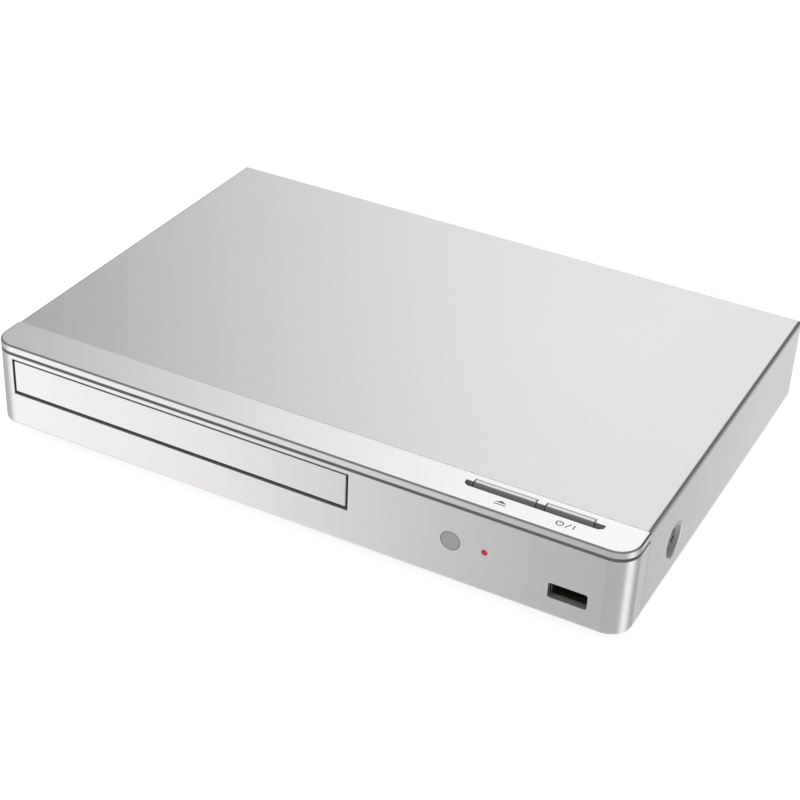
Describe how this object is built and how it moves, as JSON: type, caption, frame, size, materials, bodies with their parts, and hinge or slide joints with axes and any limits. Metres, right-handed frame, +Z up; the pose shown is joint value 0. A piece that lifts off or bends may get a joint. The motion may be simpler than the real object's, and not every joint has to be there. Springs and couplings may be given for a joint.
{
  "type": "blu-ray player",
  "caption": "Flat silver disc player with a motor-driven tray in its front, top keys, a front USB socket and video, network and mains sockets behind.",
  "frame": {"origin": "on the surface it stands on, under the middle of its bounding box", "axes": "+X to its right seen from the front, +Y to its back, +Z up"},
  "size_m": [0.2468, 0.175, 0.0385],
  "materials": {
    "cover": "satin silver paint",
    "panel": "satin silver paint on plastic",
    "door": "satin silver paint on plastic",
    "keys": "satin silver paint on plastic",
    "sheet": "zinc plated sheet",
    "foot": "moulded",
    "pad": "soft",
    "screw": "plated",
    "window": "smoky",
    "lamp_lens": "clear red",
    "receiver": "dark epoxy",
    "lamp": "clear epoxy",
    "board": "solder mask",
    "power_board": "paper laminate",
    "socket_metal": "plated",
    "insulator": "moulded",
    "switch": "moulded",
    "plunger": "moulded",
    "chip": "moulded",
    "sink": "extruded",
    "capacitor": "sleeved",
    "coax": "moulded",
    "barrel": "plated",
    "core": "sintered",
    "winding": "taped",
    "pins": "plated",
    "cable_socket": "moulded",
    "ribbon": "film",
    "loader": "moulded",
    "bridge": "zinc plated sheet",
    "motor": "plated can",
    "belt": "soft",
    "tray": "moulded",
    "gear": "moulded",
    "cam": "moulded",
    "lift": "moulded",
    "damper": "soft",
    "rod": "ground",
    "turntable": "moulded",
    "clamper": "moulded",
    "yoke": "plated",
    "sled": "die cast",
    "lens": "polished"
  },
  "bodies": {
    "casing": {"bottom_chassis": "sheet", "top_cover": "cover", "front_panel": "panel", "feet": "foot", "foot_pads": "pad", "cover_screws": "screw", "inner_screws": "screw", "sensor_window": "window", "lamp_lens": "lamp_lens", "remote_receiver": "receiver", "status_lamp": "lamp", "front_board": "board", "usb_shell": "socket_metal", "usb_tongue": "insulator", "key_board": "board", "key_switches": "switch", "main_board": "board", "main_chip": "chip", "heat_sink": "sink", "capacitors": "capacitor", "hdmi_shell": "socket_metal", "hdmi_tongue": "insulator", "lan_jack": "insulator", "coax_jack": "coax", "coax_barrel": "barrel", "power_board": "power_board", "transformer_core": "core", "transformer_winding": "winding", "mains_inlet": "insulator", "mains_pins": "pins", "cable_sockets": "cable_socket", "front_cable": "ribbon", "loader_cable": "ribbon", "loader_frame": "loader", "clamp_bridge": "bridge", "loading_motor": "motor", "drive_belt": "belt"},
    "tray": {"disc_tray": "tray", "tray_door": "door"},
    "open_key": {"open_key": "keys", "open_plunger": "plunger"},
    "power_key": {"power_key": "keys", "power_plunger": "plunger"},
    "drive_gear": {"drive_gear": "gear"},
    "pulley_gear": {"pulley_gear": "gear"},
    "motor_pulley": {"motor_pulley": "gear"},
    "cam": {"cam_slider": "cam"},
    "lift": {"lift_frame": "lift", "traverse_plate": "bridge", "damper_bushes": "damper", "damper_screws": "screw", "guide_rods": "rod", "spindle_motor": "motor", "feed_motor": "motor"},
    "turntable": {"turntable": "turntable"},
    "clamper": {"clamper": "clamper", "clamp_yoke": "yoke"},
    "sled": {"pickup_sled": "sled", "objective_lens": "lens"},
    "lead_screw": {"lead_screw": "rod"}
  },
  "joints": [
    {"name": "tray_slide", "type": "slide", "parent": "casing", "child": "tray", "axis": [0, -1, 0], "range_m": [0, 0.131]},
    {"name": "drive_gear_spin", "type": "hinge", "parent": "casing", "child": "drive_gear", "pos_m": [-0.00175, -0.066, 0.02055], "axis": [0, 0, 1], "range_deg": [-627, 0]},
    {"name": "pulley_gear_spin", "type": "hinge", "parent": "casing", "child": "pulley_gear", "pos_m": [-0.0201, -0.06108, 0.02055], "axis": [0, 0, 1], "range_deg": [0, 1074]},
    {"name": "motor_pulley_spin", "type": "hinge", "parent": "casing", "child": "motor_pulley", "pos_m": [-0.05375, -0.066, 0.02055], "axis": [0, 0, 1], "range_deg": [0, 4115]},
    {"name": "open_key_press", "type": "slide", "parent": "casing", "child": "open_key", "axis": [0, 0, -1], "range_m": [0, 0.0005], "stiffness_N_per_m": 400},
    {"name": "power_key_press", "type": "slide", "parent": "casing", "child": "power_key", "axis": [0, 0, -1], "range_m": [0, 0.0005], "stiffness_N_per_m": 400},
    {"name": "lift_hinge", "type": "hinge", "parent": "casing", "child": "lift", "pos_m": [-0.04575, 0.066, 0.015], "axis": [-1, 0, 0], "range_deg": [0, 5]},
    {"name": "cam_shift", "type": "slide", "parent": "casing", "child": "cam", "axis": [1, 0, 0], "range_m": [0, 0.016]},
    {"name": "turntable_spin", "type": "hinge", "parent": "lift", "child": "turntable", "pos_m": [-0.04575, -0.01879, 0.02033], "axis": [0, -0.0872, 0.9962], "continuous": true},
    {"name": "clamper_spin", "type": "hinge", "parent": "casing", "child": "clamper", "pos_m": [-0.04575, -0.018, 0.0286], "axis": [0, 0, 1], "continuous": true},
    {"name": "pickup_feed", "type": "slide", "parent": "lift", "child": "sled", "axis": [0, 0.9962, 0.0872], "range_m": [0, 0.034]},
    {"name": "lead_screw_spin", "type": "hinge", "parent": "lift", "child": "lead_screw", "pos_m": [-0.01475, 0.05675, 0.0174], "axis": [0, 0.9962, 0.0872], "range_deg": [0, 4082]}
  ],
  "couplings": [
    {"joint": "drive_gear_spin", "follows": "tray_slide", "rad_per_m": -83.333},
    {"joint": "pulley_gear_spin", "follows": "tray_slide", "rad_per_m": 142.86},
    {"joint": "motor_pulley_spin", "follows": "tray_slide", "rad_per_m": 548.05},
    {"joint": "cam_shift", "follows": "lift_hinge", "m_per_rad": 0.18335},
    {"joint": "lead_screw_spin", "follows": "pickup_feed", "rad_per_m": 2094.4}
  ]
}
